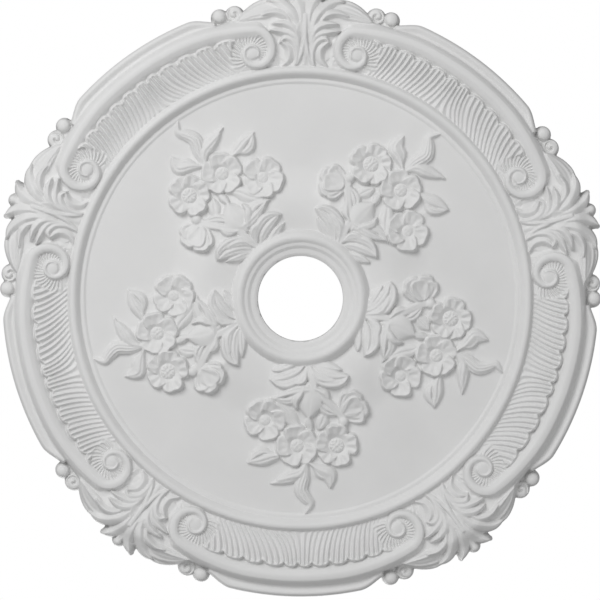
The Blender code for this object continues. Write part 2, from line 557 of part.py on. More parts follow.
def relief_plate():
    half = RIM_OUTER + 0.25 * CLUSTER_HEIGHT
    cells = round(2 * half / GRID_STEP)
    bpy.ops.mesh.primitive_grid_add(x_subdivisions=cells, y_subdivisions=cells, size=2 * half)
    rose = bpy.context.object
    rose.name = "ceiling_rose"
    carve(rose.data)
    close_back(rose.data)
    return rose


def hole_cutter():
    bpy.ops.mesh.primitive_cylinder_add(vertices=HOLE_SIDES, radius=HOLE_RADIUS, depth=3 * HUB_RING_TOP)
    cutter = bpy.context.object
    cutter.name = "centre_hole"
    cutter.hide_render = True
    cutter.display_type = "WIRE"
    return cutter


def move_to(item, name):
    """Puts an object in the collection of that name alone."""
    collection = bpy.data.collections.new(name)
    bpy.context.scene.collection.children.link(collection)
    for owner in list(item.users_collection):
        owner.objects.unlink(item)
    collection.objects.link(item)


def plaster():
    material = bpy.data.materials.new("white_primer")
    material.use_nodes = True
    shader = material.node_tree.nodes["Principled BSDF"]
    shader.inputs["Base Color"].default_value = (0.80, 0.80, 0.79, 1)
    shader.inputs["Roughness"].default_value = 0.55
    shader.inputs["Metallic"].default_value = 0.0
    return material


def main():
    for item in list(bpy.data.objects):
        bpy.data.objects.remove(item, do_unlink=True)
    rose = relief_plate()
    rose.data.materials.append(plaster())
    move_to(rose, "ceiling_rose")
    cutter = hole_cutter()
    move_to(cutter, "cutters")

    thinned = rose.modifiers.new("fewer_faces", "DECIMATE")
    thinned.ratio = KEPT_TRIANGLES / len(rose.data.polygons)
    thinned.use_collapse_triangulate = True
    hole = rose.modifiers.new("centre_hole", "BOOLEAN")
    hole.operation = "DIFFERENCE"
    hole.solver = "EXACT"
    hole.object = cutter


main()
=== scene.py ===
"""The dressed ceiling rose: a fine relief in place of the solid's, its primer, studio light and camera."""

import math

import bmesh
import bpy
import mathutils
import numpy as np
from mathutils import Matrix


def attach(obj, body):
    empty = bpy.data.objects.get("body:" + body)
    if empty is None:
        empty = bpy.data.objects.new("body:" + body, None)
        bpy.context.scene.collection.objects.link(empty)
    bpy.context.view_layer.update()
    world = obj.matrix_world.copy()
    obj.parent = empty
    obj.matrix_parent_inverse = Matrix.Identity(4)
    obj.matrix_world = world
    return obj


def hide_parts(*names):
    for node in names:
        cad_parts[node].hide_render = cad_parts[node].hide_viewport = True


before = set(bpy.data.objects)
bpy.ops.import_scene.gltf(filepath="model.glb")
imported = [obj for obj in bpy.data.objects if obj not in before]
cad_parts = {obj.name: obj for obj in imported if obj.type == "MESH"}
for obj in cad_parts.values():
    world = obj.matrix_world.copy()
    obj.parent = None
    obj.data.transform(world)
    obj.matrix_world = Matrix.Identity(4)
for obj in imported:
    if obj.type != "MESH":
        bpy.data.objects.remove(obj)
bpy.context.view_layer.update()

MM = 0.001

# Driving dimensions, from the hole outwards
HOLE_RADIUS = 47.6 * MM
HUB_RING_WIDTH = 29.4 * MM
FIELD_WIDTH = 162 * MM
BAND_WIDTH = 20 * MM
FRIEZE_WIDTH = 43.5 * MM
STRAP_WIDTH = 11.5 * MM
COVE_WIDTH = 10 * MM
RIM_WIDTH = 10 * MM

# Heights above the back
HUB_RING_TOP = 33 * MM
HUB_FOOT = 23 * MM
SWELL_TOP = 26 * MM
SWELL_REACH = 27 * MM
SWELL_FALL_WIDTH = 47 * MM
FIELD_THICKNESS = 18.5 * MM
BAND_TOP = 27.5 * MM
FRIEZE_THICKNESS = 20 * MM
FRIEZE_RISE = 4 * MM
STRAP_TOP = 32 * MM
COVE_THICKNESS = 20 * MM
RIM_TOP = 23 * MM
RIM_EDGE = 11 * MM

# Scrolls, flutes, beads and clusters of the border
SECTORS = 5
VOLUTE_RADIUS = 27 * MM
VOLUTE_DEPTH = 31 * MM
VOLUTE_ANGLE = 23.9
EYE_RADIUS = 7.4 * MM
EYE_HEIGHT = 3 * MM
RIM_HALF_ANGLE = 17.6
RIM_TURN_ANGLE = 5
FLUTE_DEPTH = 4.4 * MM
LOBE_DEPTH = 4.5 * MM
FLUTES_IN_LOBE = 3.5
BEAD_RADIUS = 7.5 * MM
BEAD_ANGLE = 18.9
CURL_RADIUS = 9 * MM
CURL_ANGLE = 21.9
CLUSTER_HEIGHT = 86 * MM
SPRAY_LENGTH = 166 * MM
PETAL_THICKNESS = 2.5 * MM
LEAF_THICKNESS = 2.6 * MM
GAP_FILL = 0.3
GAP_REACH = 4.2 * MM

# Angles in degrees: the lobes' edges across a panel, and each spray's turn from the panel's middle
LOBE_EDGES = (-26.5, -22.6, -18.9, -15.3, -11.2, -7.3, -3.4, -0.4, 2.5, 7.0, 11.3, 15.8, 20.8, 26.0)
SPRAY_TURNS = (5.5, 3.5, 0.0, 3.0, 2.5)

# How finely the relief is worked out, and how many triangles the piece keeps
GRID_STEP = 0.7 * MM
EDGE_SOFTNESS = 0.4 * MM
KEPT_TRIANGLES = 192000
HOLE_SIDES = 192
WALL_SLOPE = 6.0
OUTSIDE = -30 * MM
CUT_AWAY_BELOW = -20 * MM

HUB_OUTER = HOLE_RADIUS + HUB_RING_WIDTH
FIELD_OUTER = HUB_OUTER + FIELD_WIDTH
BAND_OUTER = FIELD_OUTER + BAND_WIDTH
STRAP_INNER = BAND_OUTER + FRIEZE_WIDTH
STRAP_OUTER = STRAP_INNER + STRAP_WIDTH
STRAP_MIDDLE = (STRAP_INNER + STRAP_OUTER) / 2
RIM_INNER = STRAP_OUTER + COVE_WIDTH
RIM_OUTER = RIM_INNER + RIM_WIDTH
VOLUTE_CENTRE = STRAP_MIDDLE - VOLUTE_DEPTH
SECTOR_ANGLE = 360 / SECTORS
CLUSTER_UNIT = CLUSTER_HEIGHT / 86
CLUSTER_START = BAND_OUTER - 0.12 * BAND_WIDTH
SPRAY_UNIT = SPRAY_LENGTH / 166
SPRAY_START = HUB_OUTER - 0.18 * HUB_RING_WIDTH

# Turned mouldings: (share of the width, share of the height)
HUB_PROFILE = (
    (0.0, 0.15), (0.05, 0.28), (0.12, 0.36), (0.20, 0.38), (0.27, 0.40), (0.33, 0.55), (0.38, 0.66),
    (0.45, 0.68), (0.50, 0.70), (0.55, 0.86), (0.61, 0.96), (0.68, 1.0), (0.75, 0.96), (0.82, 0.82),
    (0.89, 0.58), (0.95, 0.28), (1.0, 0.0),
)
BAND_PROFILE = (
    (0.0, 0.0), (0.05, 0.10), (0.11, 0.17), (0.24, 0.17), (0.29, 0.14), (0.35, 0.33), (0.44, 0.66),
    (0.54, 0.90), (0.64, 1.0), (0.75, 0.99), (0.84, 0.88), (0.92, 0.58), (1.0, 0.28),
)


def smooth_step(value, low, high):
    share = np.clip((value - low) / (high - low), 0, 1)
    return share * share * (3 - 2 * share)


def arch(value, low, high):
    """1 in the middle of low to high, falling to 0 at both ends as a half circle."""
    across = (2 * value - low - high) / (high - low)
    return np.sqrt(np.clip(1 - across * across, 0, 1))


def smooth_curve(points, steps):
    """A Catmull-Rom curve through the points."""
    p = np.array(points, float)
    p = np.vstack([2 * p[0] - p[1], p, 2 * p[-1] - p[-2]])
    t = np.linspace(0, 1, steps, endpoint=False)[:, None]
    parts = []
    for i in range(1, len(p) - 2):
        a, b, c, d = p[i - 1], p[i], p[i + 1], p[i + 2]
        square, cube = 2 * a - 5 * b + 4 * c - d, 3 * b - a - 3 * c + d
        parts.append(0.5 * (2 * b + (c - a) * t + square * t**2 + cube * t**3))
    return np.vstack([*parts, p[-2:-1]])


class Relief:
    """Heights above the back, at the points of a square grid over the plan."""

    def __init__(self, mesh):
        place = np.empty(3 * len(mesh.vertices))
        mesh.vertices.foreach_get("co", place)
        self.count = math.isqrt(len(mesh.vertices))
        place = place.reshape(self.count, self.count, 3)[:, ::-1]
        self.right, self.up = -place[..., 0], place[..., 1]
        self.start = np.array([self.right[0, 0], self.up[0, 0]])
        self.step = self.up[1, 0] - self.up[0, 0]
        self.radius = np.hypot(self.right, self.up)
        # The angle to the right of the nearest cluster's axis and of the nearest panel's middle, in degrees
        turned = np.degrees(np.arctan2(self.right, self.up))
        self.from_panel = turned % SECTOR_ANGLE - SECTOR_ANGLE / 2
        self.from_cluster = (turned + SECTOR_ANGLE / 2) % SECTOR_ANGLE - SECTOR_ANGLE / 2
        self.bed = self.dished_bed()
        self.ground = self.plate()
        self.height = self.ground.copy()

    def dished_bed(self):
        """The plate without its mouldings, which the ornaments stand on."""
        r = self.radius
        crest = HUB_OUTER + SWELL_REACH
        inner = SWELL_TOP - (SWELL_TOP - HUB_FOOT) * np.clip((crest - r) / SWELL_REACH, 0, 1) ** 2.2
        outer = SWELL_TOP - (SWELL_TOP - FIELD_THICKNESS) * smooth_step(r, crest, crest + SWELL_FALL_WIDTH)
        floor = FRIEZE_THICKNESS + FRIEZE_RISE * smooth_step(r, BAND_OUTER, STRAP_INNER)
        floor = floor - 2 * FRIEZE_RISE * smooth_step(r, STRAP_OUTER, RIM_OUTER)
        return np.where(r > BAND_OUTER, floor, np.where(r < crest, inner, outer))

    def plate(self):
        """The turned plate: ring round the hole, dished field, band and the border's floor."""
        r = self.radius
        share, level = np.array(HUB_PROFILE).T
        hub = np.interp((r - HOLE_RADIUS) / HUB_RING_WIDTH, share, level)
        hub = HUB_FOOT + (HUB_RING_TOP - HUB_FOOT) * hub
        share, level = np.array(BAND_PROFILE).T
        band = np.interp((r - FIELD_OUTER) / BAND_WIDTH, share, level)
        band = FIELD_THICKNESS + (BAND_TOP - FIELD_THICKNESS) * band
        height = np.where(r < HUB_OUTER, hub, self.bed)
        height = np.where((r > FIELD_OUTER) & (r < BAND_OUTER), band, height)
        # The plate's edge stands out under each cluster, within the leaves' own outline
        under_leaves = np.exp(-((self.from_cluster / 6.0) ** 2)) * 0.22 * CLUSTER_HEIGHT
        edge = RIM_INNER - 0.8 * COVE_WIDTH + under_leaves
        return np.maximum(height - self.wall(r - edge), OUTSIDE)

    def patch(self, low, high):
        """The part of the grid that a box in the plan covers."""
        first = np.clip(((np.array(low) - self.start) / self.step).astype(int), 0, self.count - 1)
        last = np.clip(((np.array(high) - self.start) / self.step).astype(int) + 2, 1, self.count)
        return slice(first[1], last[1]), slice(first[0], last[0])

    def lay(self, where, height):
        self.height[where] = np.maximum(self.height[where], height)

    def wall(self, beyond):
        """How far a steep wall has fallen at a distance beyond its edge."""
        return WALL_SLOPE * np.maximum(beyond, 0)

    def foot_at(self, centre):
        column, row = np.clip(((centre - self.start) / self.step).astype(int), 0, self.count - 1)
        return float(self.bed[row, column])

    def ribbon(self, points, half_widths, shape):
        """Lays a strip along a line. shape(along, across) gives its height above the plate."""
        reach = half_widths.max() + 4 * MM
        where = self.patch(points.min(0) - reach, points.max(0) + reach)
        x, y = self.right[where], self.up[where]
        best = np.full(x.shape, np.inf)
        along, across, beyond = np.zeros(x.shape), np.zeros(x.shape), np.zeros(x.shape)
        lengths = np.hypot(*np.diff(points, axis=0).T)
        ends = np.concatenate([[0], np.cumsum(lengths)]) / lengths.sum()
        for i, length in enumerate(lengths):
            way = (points[i + 1] - points[i]) / length
            dx, dy = x - points[i][0], y - points[i][1]
            t = np.clip((dx * way[0] + dy * way[1]) / length, 0, 1)
            distance = np.hypot(dx - t * length * way[0], dy - t * length * way[1])
            half = half_widths[i] + t * (half_widths[i + 1] - half_widths[i])
            near = distance < best
            best = np.where(near, distance, best)
            along = np.where(near, ends[i] + t * (ends[i + 1] - ends[i]), along)
            beyond = np.where(near, distance - half, beyond)
            side = np.sign(way[0] * dy - way[1] * dx)
            across = np.where(near, side * distance / np.maximum(half, 1e-6), across)
        height = shape(along, np.clip(across, -1, 1)) - self.wall(beyond)
        self.lay(where, self.bed[where] + height)

    def leaf(self, place, points, width, rise, crown=1.2, vein=0.6, tilt=0.0, ribs=0, full=0.5,
             plump=0.75, keen=2.0):
        """A pointed leaf. rise is its height at the root, middle and tip, in leaf thicknesses.

        full is where along it is widest, a large plump makes its sides straight, tilt lifts its left edge,
        a small keen gives it a sharp ridge, and ribs are fine grooves along it.
        """
        line = smooth_curve([place(p) for p in points], 6)
        share = np.linspace(0, 1, len(line))
        bulge = np.where(share < full, 0.5 + 0.5 * share / full, 1 - 0.5 * (share - full) / (1 - full))
        swell = np.maximum(np.sin(math.pi * (bulge - 0.5)) ** plump, 0.35 * (1 - share) ** 2)
        tilt *= place.mirror

        def shape(along, across):
            body = np.interp(along, (0, 0.5, 1), rise)
            fold = crown * (1 - np.abs(across) ** keen) + tilt * across
            fold = fold - 1.3 * vein * np.exp(-np.abs(across / 0.16))
            fine = -0.7 * np.abs(np.sin(math.pi * ribs * across)) if ribs else 0
            return LEAF_THICKNESS * (body + fold + fine)

        self.ribbon(line, 0.5 * width * place.unit * swell, shape)

    def stem(self, place, points, width, rise):
        """A round stalk of even width; rise as for a leaf."""
        line = smooth_curve([place(p) for p in points], 6)

        def shape(along, across):
            body = np.interp(along, (0, 0.5, 1), rise)
            return LEAF_THICKNESS * (body + 0.6 * np.sqrt(1 - across**2)
                                     - 0.2 * np.exp(-((across / 0.18) ** 2)))

        self.ribbon(line, np.full(len(line), 0.5 * width * place.unit), shape)

    def dome(self, centre, radius, foot, height, flat=0.5):
        where = self.patch(centre - radius - 4 * MM, centre + radius + 4 * MM)
        away = np.hypot(self.right[where] - centre[0], self.up[where] - centre[1])
        crown = height * np.clip(1 - (away / radius) ** 2, 0, 1) ** flat
        self.lay(where, foot + crown - self.wall(away - radius))

    def petal(self, place, centre, angle, size, foot, open_by, wide=1.0, rays=0.4):
        """One dished petal; open_by is how far its outer end stands up, rays the depth of its streaks."""
        middle, a = place(centre), math.radians(angle) + place.turn
        unit = size * place.unit
        where = self.patch(middle - 1.2 * unit, middle + 1.2 * unit)
        dx, dy = self.right[where] - middle[0], self.up[where] - middle[1]
        out = (dx * math.cos(a) + dy * math.sin(a)) / unit
        aside = (-dx * math.sin(a) + dy * math.cos(a)) / unit
        half = wide * (0.40 + 0.18 * np.clip(out, 0, 1))
        notch = 0.05 * np.exp(-((aside / 0.12) ** 2)) * (out > 0.56)
        egg = (np.abs((out - 0.54) / 0.46) ** 2.5 + np.abs(aside / half) ** 2.5) ** 0.4 + notch
        edge = np.clip((1 - egg) / 0.10, 0, 1) ** 0.5
        rolled = 0.8 * np.clip(egg, 0, 0.9) ** 2.5
        crease = np.exp(-((aside / 0.05) ** 2)) * (1 - smooth_step(out, 0.4, 0.8))
        bearing = np.arctan2(aside, np.maximum(out, 0.05))
        fading = 1 - smooth_step(out, 0.3 + rays, 0.8 + 0.3 * rays)
        streaks = -rays * np.abs(np.sin(7 * bearing)) ** 2 * fading
        cup = open_by * np.clip(out, 0, 1) ** 1.6
        height = cup + 0.7 * edge + rolled - 0.4 * crease + 1.2 * aside + streaks
        self.lay(where, self.bed[where] + foot + PETAL_THICKNESS * height
                 - self.wall((egg - 1) * 0.43 * unit))

    def heart(self, middle, radius, foot):
        """A flower's heart: a low disc of small grains, sunk in a bowl of petals."""
        where = self.patch(middle - 2 * radius, middle + 2 * radius)
        dx, dy = self.right[where] - middle[0], self.up[where] - middle[1]
        away = np.hypot(dx, dy) / radius
        bowl = foot - 0.15 * radius + 0.9 * radius * np.maximum(away - 1.1, 0)
        sunk = np.minimum(self.height[where], bowl)
        self.height[where] = np.where(away < 1.9, sunk, self.height[where])
        ring = np.cos(11 * np.arctan2(dy, dx)) * np.exp(-(((away - 0.75) / 0.16) ** 2))
        grains = np.cos(2.6 * math.pi * dx / radius) * np.cos(2.6 * math.pi * dy / radius) * (away < 0.55)
        disc = 0.2 * radius * np.clip(1 - away**2, 0, 1) ** 0.5 + 0.15 * radius * (ring + grains)
        self.lay(where, foot + disc - self.wall((away - 1) * radius))

    def curl(self, centre, radius, bearing, side):
        """Cuts a spiral groove into a small round end."""
        where = self.patch(centre - radius, centre + radius)
        dx, dy = self.right[where] - centre[0], self.up[where] - centre[1]
        away = np.hypot(dx, dy) / radius
        round_it = side * (np.arctan2(dx, dy) - bearing)
        spiral = np.cos(round_it - 2 * math.pi * 1.1 * away)
        depth = 0.36 * radius * smooth_step(spiral, 0.1, 0.8) * (1 - smooth_step(away, 0.7, 0.85))
        self.height[where] -= depth

    def fill_gaps(self):
        """Part fills the narrow gaps between ornaments, as a mould that has to let the casting go does."""
        cells = max(1, round(GAP_REACH / self.step))
        stands = self.height - self.ground
        for widen in (np.maximum, np.minimum):
            for axis in (0, 1):
                spread = stands
                for k in range(1, cells + 1):
                    spread = widen(spread, widen(np.roll(stands, k, axis), np.roll(stands, -k, axis)))
                stands = spread
        for _ in range(round(0.4 * cells**2) + 1):
            for axis in (0, 1):
                stands = 0.25 * np.roll(stands, 1, axis) + 0.5 * stands + 0.25 * np.roll(stands, -1, axis)
        solid = self.ground > 0
        self.height = np.where(solid, np.maximum(self.height, self.ground + GAP_FILL * stands), self.height)

    def soften(self):
        """Rounds every edge a little, as a casting's are."""
        passes = max(1, round(2 * (EDGE_SOFTNESS / self.step) ** 2))
        h = self.height
        for _ in range(passes):
            for axis in (0, 1):
                h = 0.25 * np.roll(h, 1, axis) + 0.5 * h + 0.25 * np.roll(h, -1, axis)
        self.height = h

    def shape(self, mesh):
        """Pulls the grid down to its heights."""
        place = np.stack([-self.right, self.up, -self.height], axis=-1)[:, ::-1]
        mesh.vertices.foreach_set("co", place.ravel())
        mesh.update()


class Place:
    """Turns (right, up) in an ornament's own units into a plan position."""

    def __init__(self, turned, unit, base=0.0, mirror=1):
        self.turn, self.unit, self.base, self.mirror = -math.radians(turned), unit, base, mirror

    def __call__(self, point):
        right, up = point[0] * self.unit * self.mirror, point[1] * self.unit + self.base
        c, s = math.cos(self.turn), math.sin(self.turn)
        return np.array([right * c - up * s, right * s + up * c])


# How the strap narrows as it winds into the volute: degrees, share of its width
STRAP_TAPER = ((0, 90, 180, 270, 360, 450), (0.94, 0.80, 0.62, 0.44, 0.30, 0.22))


def scroll_line(side):
    """The middle line and half widths of half a frame strap, from the panel's middle into its volute."""
    arc = np.radians(np.arange(0, VOLUTE_ANGLE - 3, 1.5))
    sinking = smooth_step(arc, math.radians(10), math.radians(VOLUTE_ANGLE))
    sinking = (VOLUTE_DEPTH - VOLUTE_RADIUS) * sinking
    points = [(r * math.sin(a), r * math.cos(a)) for r, a in zip(STRAP_MIDDLE - sinking, arc)]
    widths = [STRAP_WIDTH / 2] * len(points)
    eye = math.radians(VOLUTE_ANGLE)
    centre = np.array([math.sin(eye), math.cos(eye)]) * VOLUTE_CENTRE
    for turned in np.arange(12, 500, 12):
        a = eye + math.radians(turned)
        wound = 0.27 + 0.73 * math.exp(-((turned / 175) ** 2))
        points.append(centre + VOLUTE_RADIUS * wound * np.array([math.sin(a), math.cos(a)]))
        widths.append(STRAP_WIDTH / 2 * np.interp(turned, *STRAP_TAPER))
    points = np.array(points)
    for _ in range(2):
        points[1:-1] = 0.25 * points[:-2] + 0.5 * points[1:-1] + 0.25 * points[2:]
    points[:, 0] *= side
    return points, np.array(widths), centre * (side, 1)


def frame_strap(relief, turned):
    place = Place(turned, 1.0)
    stands = STRAP_TOP - FRIEZE_THICKNESS - FRIEZE_RISE
    for side in (1, -1):
        points, halves, eye = scroll_line(side)
        points = np.array([place(p) for p in points])

        def ledge(along, across):
            return stands * (0.25 + 0.4 * smooth_step(-np.abs(across), -0.95, -0.7))

        def shape(along, across, side=side):
            crown = 0.76 + 0.24 * np.sqrt(1 - across**2) - 0.06 * smooth_step(-side * across, 0, 1)
            groove = 0.08 * np.exp(-(((side * across + 0.70) / 0.09) ** 2))
            return stands * (crown - groove)

        straight = round(VOLUTE_ANGLE / 1.5)
        relief.ribbon(points[:straight], halves[:straight] + 0.35 * STRAP_WIDTH, ledge)
        relief.ribbon(points, halves, shape)
        middle = place(eye)
        foot = relief.foot_at(middle)
        relief.dome(middle, 1.5 * EYE_RADIUS, foot + 0.5 * stands, 0)
        relief.dome(middle, EYE_RADIUS, foot + 0.55 * stands, EYE_HEIGHT, 0.35)


def inside_scroll(relief):
    """How far each point is from the nearest volute's centre, and its angle round it, over all panels."""
    a = np.radians(relief.from_panel)
    right, up = np.abs(relief.radius * np.sin(a)), relief.radius * np.cos(a)
    eye = math.radians(VOLUTE_ANGLE)
    dx, dy = right - VOLUTE_CENTRE * math.sin(eye), up - VOLUTE_CENTRE * math.cos(eye)
    return np.hypot(dx, dy), np.degrees(np.arctan2(dx, dy)) - VOLUTE_ANGLE


def flutes(relief):
    """The gadrooned lobes between band and strap, each of several flutes, leaning as they run inwards."""
    r = relief.radius
    inwards = np.clip((STRAP_INNER - r) / FRIEZE_WIDTH, 0, 1)
    angle = relief.from_panel
    lean = 1.0 + 3.5 * np.tanh(angle / 5)
    lobes = np.interp(angle - lean * inwards**2, LOBE_EDGES, np.arange(len(LOBE_EDGES)))
    across = 2 * (lobes - np.floor(lobes)) - 1
    end = STRAP_INNER - 0.09 * FRIEZE_WIDTH - 0.11 * FRIEZE_WIDTH * np.abs(across) ** 3
    arris = 1 - np.abs(np.sin(math.pi * FLUTES_IN_LOBE * lobes)) ** 1.2
    fade = smooth_step(r, BAND_OUTER, BAND_OUTER + 0.8 * FRIEZE_WIDTH)
    round_end = np.clip((end - r) / (0.08 * FRIEZE_WIDTH), 0, 1) ** 0.5
    cuff = smooth_step(r, end - 0.11 * FRIEZE_WIDTH, end - 0.05 * FRIEZE_WIDTH)
    ridge = FLUTE_DEPTH * np.maximum(arris, cuff) * (0.5 + 0.5 * fade)
    rise = LOBE_DEPTH * (0.25 + 0.75 * fade) * (1 - 0.3 * across**4) + ridge
    from_eye, round_eye = inside_scroll(relief)
    side_room = np.radians(VOLUTE_ANGLE - np.abs(angle)) * r
    room = np.minimum(side_room, from_eye - 0.84 * VOLUTE_RADIUS)
    room = np.minimum(room, np.minimum(r - BAND_OUTER, end - r))
    everywhere = (slice(None), slice(None))
    relief.lay(everywhere, relief.ground + np.minimum(rise * round_end, WALL_SLOPE * room))
    swirl = round_eye + 40 * (1 - from_eye / VOLUTE_RADIUS)
    ribs = 0.45 * LOBE_DEPTH + 0.8 * FLUTE_DEPTH * (1 - np.abs(np.sin(np.radians(14 * swirl))) ** 1.2)
    room = np.minimum(1.2 * VOLUTE_RADIUS - from_eye, r - BAND_OUTER)
    relief.lay(everywhere, relief.ground + np.minimum(ribs, 0.6 * room))


def rim(relief):
    """The outer roll and the cove behind it. The roll turns inwards at both ends of a panel."""
    angle = np.abs(relief.from_panel)
    turn = smooth_step(angle, RIM_HALF_ANGLE - RIM_TURN_ANGLE, RIM_HALF_ANGLE + 0.3 * RIM_TURN_ANGLE)
    edge = RIM_OUTER - RIM_EDGE / WALL_SLOPE - (0.5 * COVE_WIDTH + 0.6 * RIM_WIDTH) * turn
    inwards = edge - relief.radius
    roll = RIM_EDGE + (RIM_TOP - RIM_EDGE) * arch(inwards, -0.05 * RIM_WIDTH, RIM_WIDTH)
    up_strap = np.clip(1 - (relief.radius - STRAP_OUTER) / COVE_WIDTH, 0, 1)
    cove = COVE_THICKNESS + 0.75 * (STRAP_TOP - COVE_THICKNESS) * up_strap**3
    flank = cove + np.maximum(RIM_TOP - cove, 0) * smooth_step(-inwards, -1.1 * RIM_WIDTH, -0.5 * RIM_WIDTH)
    height = np.where(inwards < 0.5 * RIM_WIDTH, roll, flank) - relief.wall(-inwards)
    room = np.minimum(np.radians(RIM_HALF_ANGLE - angle) * relief.radius, relief.radius - STRAP_MIDDLE)
    relief.lay((slice(None), slice(None)), height - relief.wall(-room))


def beads(relief, turned):
    """A bead and a small curl on the edge at each end of a panel."""
    for side in (1, -1):
        a = math.radians(turned + side * BEAD_ANGLE)
        bead = np.array([math.sin(a), math.cos(a)]) * (RIM_INNER + 0.43 * BEAD_RADIUS)
        relief.dome(bead, BEAD_RADIUS, 0.7 * COVE_THICKNESS, 0.75 * BEAD_RADIUS)
        saddle = np.array([math.sin(a), math.cos(a)]) * (RIM_INNER - 0.77 * BEAD_RADIUS)
        relief.dome(saddle, 1.3 * BEAD_RADIUS, 0.5 * COVE_THICKNESS, 0.3 * BEAD_RADIUS)
        a = math.radians(turned + side * CURL_ANGLE)
        curl = np.array([math.sin(a), math.cos(a)]) * (RIM_INNER + 0.16 * CURL_RADIUS)
        relief.dome(curl, CURL_RADIUS, 0.6 * COVE_THICKNESS, 0.5 * CURL_RADIUS, 0.3)
        relief.curl(curl, CURL_RADIUS, a, side)


# The leaves on one side of a cluster: middle line, width, rise and tilt
ACANTHUS = (
    (((25, 1), (18, 9), (18, 20), (27, 28)), 11, (0.4, 1.2, 1.8), 0.5),
    (((12, -2), (9, 12), (12, 25), (21, 31), (28, 26)), 10, (0.6, 1.6, 1.8), 0.6),
    (((5, 8), (8, 24), (14, 34), (26, 38), (40, 40)), 10, (0.6, 1.8, 1.8), 0.6),
    (((6, 20), (9, 34), (15, 43), (25, 47), (37, 47)), 10, (1.0, 2.4, 2.0), 0.7),
    (((14, 44), (23, 56), (35, 60), (49, 56)), 9, (1.4, 2.0, 1.4), 0.6),
    (((7, 32), (11, 50), (20, 64), (31, 72), (44, 74)), 13, (1.2, 2.4, 1.6), 0.8),
    (((4, 42), (6, 62), (11, 75), (20, 85)), 13, (1.4, 2.2, 1.0), 0.6),
)


def cluster(relief, turned):
    """The acanthus between two panels: husk, knob and mirrored leaves, in units of its height / 86."""
    middle = Place(turned, CLUSTER_UNIT, CLUSTER_START)
    relief.dome(middle((0, 34)), 36 * CLUSTER_UNIT, FRIEZE_THICKNESS + 0.5 * FRIEZE_RISE,
                0.6 * LEAF_THICKNESS, 0.8)
    for mirror in (1, -1):
        place = Place(turned, CLUSTER_UNIT, CLUSTER_START, mirror)
        for points, width, rise, tilt in ACANTHUS:
            relief.leaf(place, points, width, rise, crown=1.7, vein=0, tilt=tilt, keen=1.3)
        relief.leaf(place, ((18, 54), (36, 65), (54, 62), (75, 51)), 21, (0.8, 1.2, 0.3), tilt=-0.5, ribs=2)
        relief.stem(place, ((8.5, 4), (5, 11), (3, 18), (1.4, 30)), 3.2, (1.6, 2.8, 2.8))
    relief.leaf(middle, ((0, 48), (0, 62), (0, 74), (0, 86)), 12, (1.6, 1.8, 1.0), vein=0.5, full=0.4)
    relief.leaf(middle, ((0, -5), (0, 6), (0, 16), (0, 28)), 19, (0.6, 1.2, 1.6), crown=0.4, vein=0,
                full=0.04)
    relief.leaf(middle, ((0, 18), (0, 30), (0, 43), (0, 59)), 21, (1.4, 3.9, 3.0), crown=-1.4, vein=0,
                full=0.48, plump=0.9, keen=1.6)
    relief.stem(middle, ((0, 2), (0, 20), (0, 40), (0, 57)), 4.6, (1.0, 3.0, 3.0))
    knob = 5.2 * CLUSTER_UNIT
    relief.dome(middle((0, 81.5)), knob, 0.8 * COVE_THICKNESS, 1.2 * knob)


def flower(relief, place, centre, size, heart, lift, angles, opened, rays=0.4):
    for angle, standing in zip(angles, opened):
        relief.petal(place, centre, angle, size, lift * PETAL_THICKNESS, standing, rays=rays)
    middle = place(centre)
    relief.heart(middle, heart * place.unit, relief.foot_at(middle) + (lift + 0.1) * PETAL_THICKNESS)


def bud(relief, place):
    middle = place((-59, 46))
    foot = relief.foot_at(middle)
    relief.dome(middle, 14.5 * place.unit, foot + 0.8 * PETAL_THICKNESS, 1.6 * PETAL_THICKNESS)
    relief.dome(place((-50, 64)), 5.5 * place.unit, foot + PETAL_THICKNESS, 1.6 * PETAL_THICKNESS)
    for angle, size, lift in ((180, 26, 0.6), (252, 28, 0.6), (201, 31, 1.0), (236, 32, 1.0)):
        relief.petal(place, (-48, 58), angle, size, lift * PETAL_THICKNESS, 1.7, 0.6)
    relief.petal(place, (-48, 57), 218, 27, 2.0 * PETAL_THICKNESS, 0.9, 0.75)


